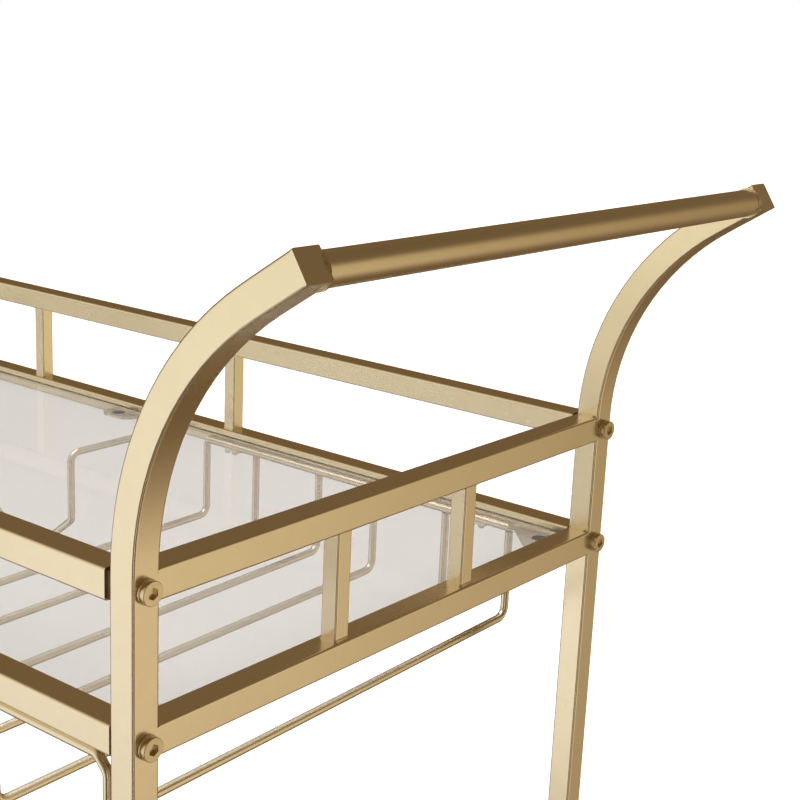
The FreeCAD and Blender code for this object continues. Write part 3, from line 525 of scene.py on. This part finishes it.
def rail_welds():
    """The end rails are welded above and below, and ground flush with the uprights in front."""
    rng = random.Random(5)
    edge = TUBE_CORNER
    beads, ground = Shell(), Shell()
    for end in ("handle", "plain"):
        for tray in ("upper", "lower"):
            for kind in ("guard", "shelf"):
                low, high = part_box("%s_end_%s_%s_rail" % (end, tray, kind))
                for side in (-1, 1):
                    y = high.y if side > 0 else low.y
                    inward = Vector((0, -side, 0))
                    for z, way, width in ((low.z, -1, RAIL_BEAD_BELOW), (high.z, 1, RAIL_BEAD_ABOVE)):
                        straight_bead(beads, Vector((low.x + edge, y, z)), Vector((high.x - edge, y, z)),
                                      inward, Vector((0, 0, way)), width, rng)
                    for x, out in ((low.x, -1), (high.x, 1)):
                        notch = [(x, y), (x, y + side * edge)]
                        for k in range(1, 6):
                            angle = math.pi / 2 * k / 5
                            notch.append((x - out * edge * (1 - math.cos(angle)),
                                          y + side * edge * (1 - math.sin(angle))))
                        ground.skin([[Vector((u, v, z)) for u, v in notch]
                                     for z in (low.z + 0.9 * MM, high.z - 0.9 * MM)])
    beads.piece("end_rail_welds", FINISH["champagne_paint"], "champagne_paint", "frame")
    ground.piece("ground_joints", FINISH["champagne_paint"], "champagne_paint", "frame")


def handle_welds():
    """A bead where each end of the push bar meets its arm, trimmed to the arm's width."""
    rng = random.Random(9)
    low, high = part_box("handle_bar")
    middle = (low + high) / 2
    radius = (high.z - low.z) / 2
    widest = radius + 0.9 * MM
    around = 48
    shell = Shell()
    for y, way in ((low.y, 1), (high.y, -1)):
        loops = []
        for out, along in bead_section(BAR_BEAD):
            ring = []
            for k in range(around):
                angle = math.tau * k / around
                swell = 0.9 + 0.12 * math.sin(5 * angle + way) * rng.uniform(0.4, 1.0)
                reach = min(radius + out * swell, widest)
                ring.append(Vector((middle.x + reach * math.cos(angle), y + way * along,
                                    middle.z + reach * math.sin(angle))))
            loops.append(ring)
        shell.skin(loops, wrap=True)
    shell.piece("handle_bar_welds", FINISH["champagne_paint"], "champagne_paint", "frame")


# A hub rib's outline in mm: distance from the axle, and half its width there; its depth in the
# hub from the wheel's middle plane, at the foot and at the crest.
RIB_COUNT = 6
RIB_OUTLINE = ((6.4, 1.1), (11.0, 0.85), (16.2, 1.2))
RIB_FOOT, RIB_CREST = 5.8, 8.0


def hub_ribs():
    """Six moulded ribs in the recess on each side of every wheel."""
    for spot in SPOTS:
        low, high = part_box(spot + "_wheel_hub")
        middle = (low + high) / 2
        shell = Shell()
        for way in (-1, 1):
            for k in range(RIB_COUNT):
                turn = Matrix.Rotation(math.tau * k / RIB_COUNT, 4, "Y")
                loops = []
                for reach, half in RIB_OUTLINE:
                    corners = [(-half, RIB_FOOT), (half, RIB_FOOT),
                               (half * 0.7, RIB_CREST), (-half * 0.7, RIB_CREST)]
                    loops.append([middle + turn @ Vector((u * MM, way * v * MM, reach * MM))
                                  for u, v in corners])
                shell.skin(loops)
        shell.piece(spot + "_hub_ribs", FINISH["hub_plastic"], "hub_plastic", spot + "_wheel")


def pedal_grips():
    """Four rounded grip ridges across the tread of each brake pedal."""
    for spot in BRAKED_SPOTS:
        low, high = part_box(spot + "_brake_pedal")
        middle = (low.y + high.y) / 2
        shell = Shell()
        for k in range(4):
            foot = Vector((high.x - (4.5 + 3.2 * k) * MM, 0, low.z + (3.1 + 0.85 * k) * MM))
            loops = []
            for side, swell in ((-8.4, 0.5), (-7.6, 1.0), (7.6, 1.0), (8.4, 0.5)):
                loops.append([Vector((foot.x + swell * 0.8 * MM * math.cos(math.pi * j / 6),
                                      middle + side * MM,
                                      foot.z + swell * 0.9 * MM * math.sin(math.pi * j / 6)))
                              for j in range(7)])
            shell.skin(loops)
        shell.piece(spot + "_pedal_grips", FINISH["pedal_plastic"], "pedal_plastic", spot + "_brake")


def ball(shell, centre, radii, rng, rough=0.12, rings=8, around=14):
    """A small uneven lump of weld metal."""
    loops = []
    for k in range(rings + 1):
        tilt = math.pi * (k + 0.05) / (rings + 0.1)
        loop = []
        for j in range(around):
            turn = math.tau * j / around
            swell = 1 + rough * rng.uniform(-1, 1)
            loop.append(centre + swell * Vector((radii[0] * math.sin(tilt) * math.cos(turn),
                                                 radii[1] * math.sin(tilt) * math.sin(turn),
                                                 radii[2] * math.cos(tilt))))
        loops.append(loop)
    shell.skin(loops)


def rack_welds():
    """Weld lumps where the racks' wires meet their tabs and each other."""
    rng = random.Random(21)
    shell = Shell()
    for low, high in islands("rack_tabs"):
        middle = (low + high) / 2
        side = 1 if middle.y > 0 else -1
        web = high.z - low.z > 4 * MM
        y = low.y if side > 0 else high.y
        z = high.z if web else low.z
        if not web:
            y = low.y + 0.4 * MM
            z = (low.z + high.z) / 2 - 1.2 * MM
        for shift in (-3.6 * MM, 3.6 * MM):
            ball(shell, Vector((middle.x + shift, y, z)), (2.4 * MM, 1.5 * MM, 1.3 * MM), rng)
    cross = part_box("stemware_outer_wire")[0].y
    for low, high in islands("stemware_runners"):
        for shift in (-5 * MM, 5 * MM):
            ball(shell, Vector(((low.x + high.x) / 2 + shift, cross + 4.9 * MM, high.z - 3.6 * MM)),
                 (2.6 * MM, 1.3 * MM, 1.2 * MM), rng)
    shell.piece("rack_welds", FINISH["champagne_paint"], "champagne_paint", "frame")


def soften(nodes, width, segments=2):
    """Break the sharp edges of CAD nodes."""
    for name in nodes:
        weld = NODES[name].modifiers.new("join", "WELD")
        weld.merge_threshold = 0.000002
        bevel = NODES[name].modifiers.new("soft_edges", "BEVEL")
        bevel.width = width
        bevel.segments = segments
        bevel.limit_method = "ANGLE"
        bevel.angle_limit = math.radians(50)


FINISH = dress_cad()
post_welds()
rail_welds()
handle_welds()
rack_welds()
hub_ribs()
pedal_grips()
soften(["%s_%s" % (spot, part) for spot in SPOTS for part in ("fork", "wheel_hub")], 0.4 * MM)
soften(["corner_gussets", "shelf_tabs", "rack_tabs", "leg_sockets"], 0.3 * MM)
soften(["tube_end_caps", "frame_washers", "frame_bolts"], 0.35 * MM)
soften(["upper_glass_shelf", "lower_glass_shelf"], 0.7 * MM)
add_camera()
add_floor()
add_world()
add_light()
SCENE.view_settings.view_transform = "Standard"
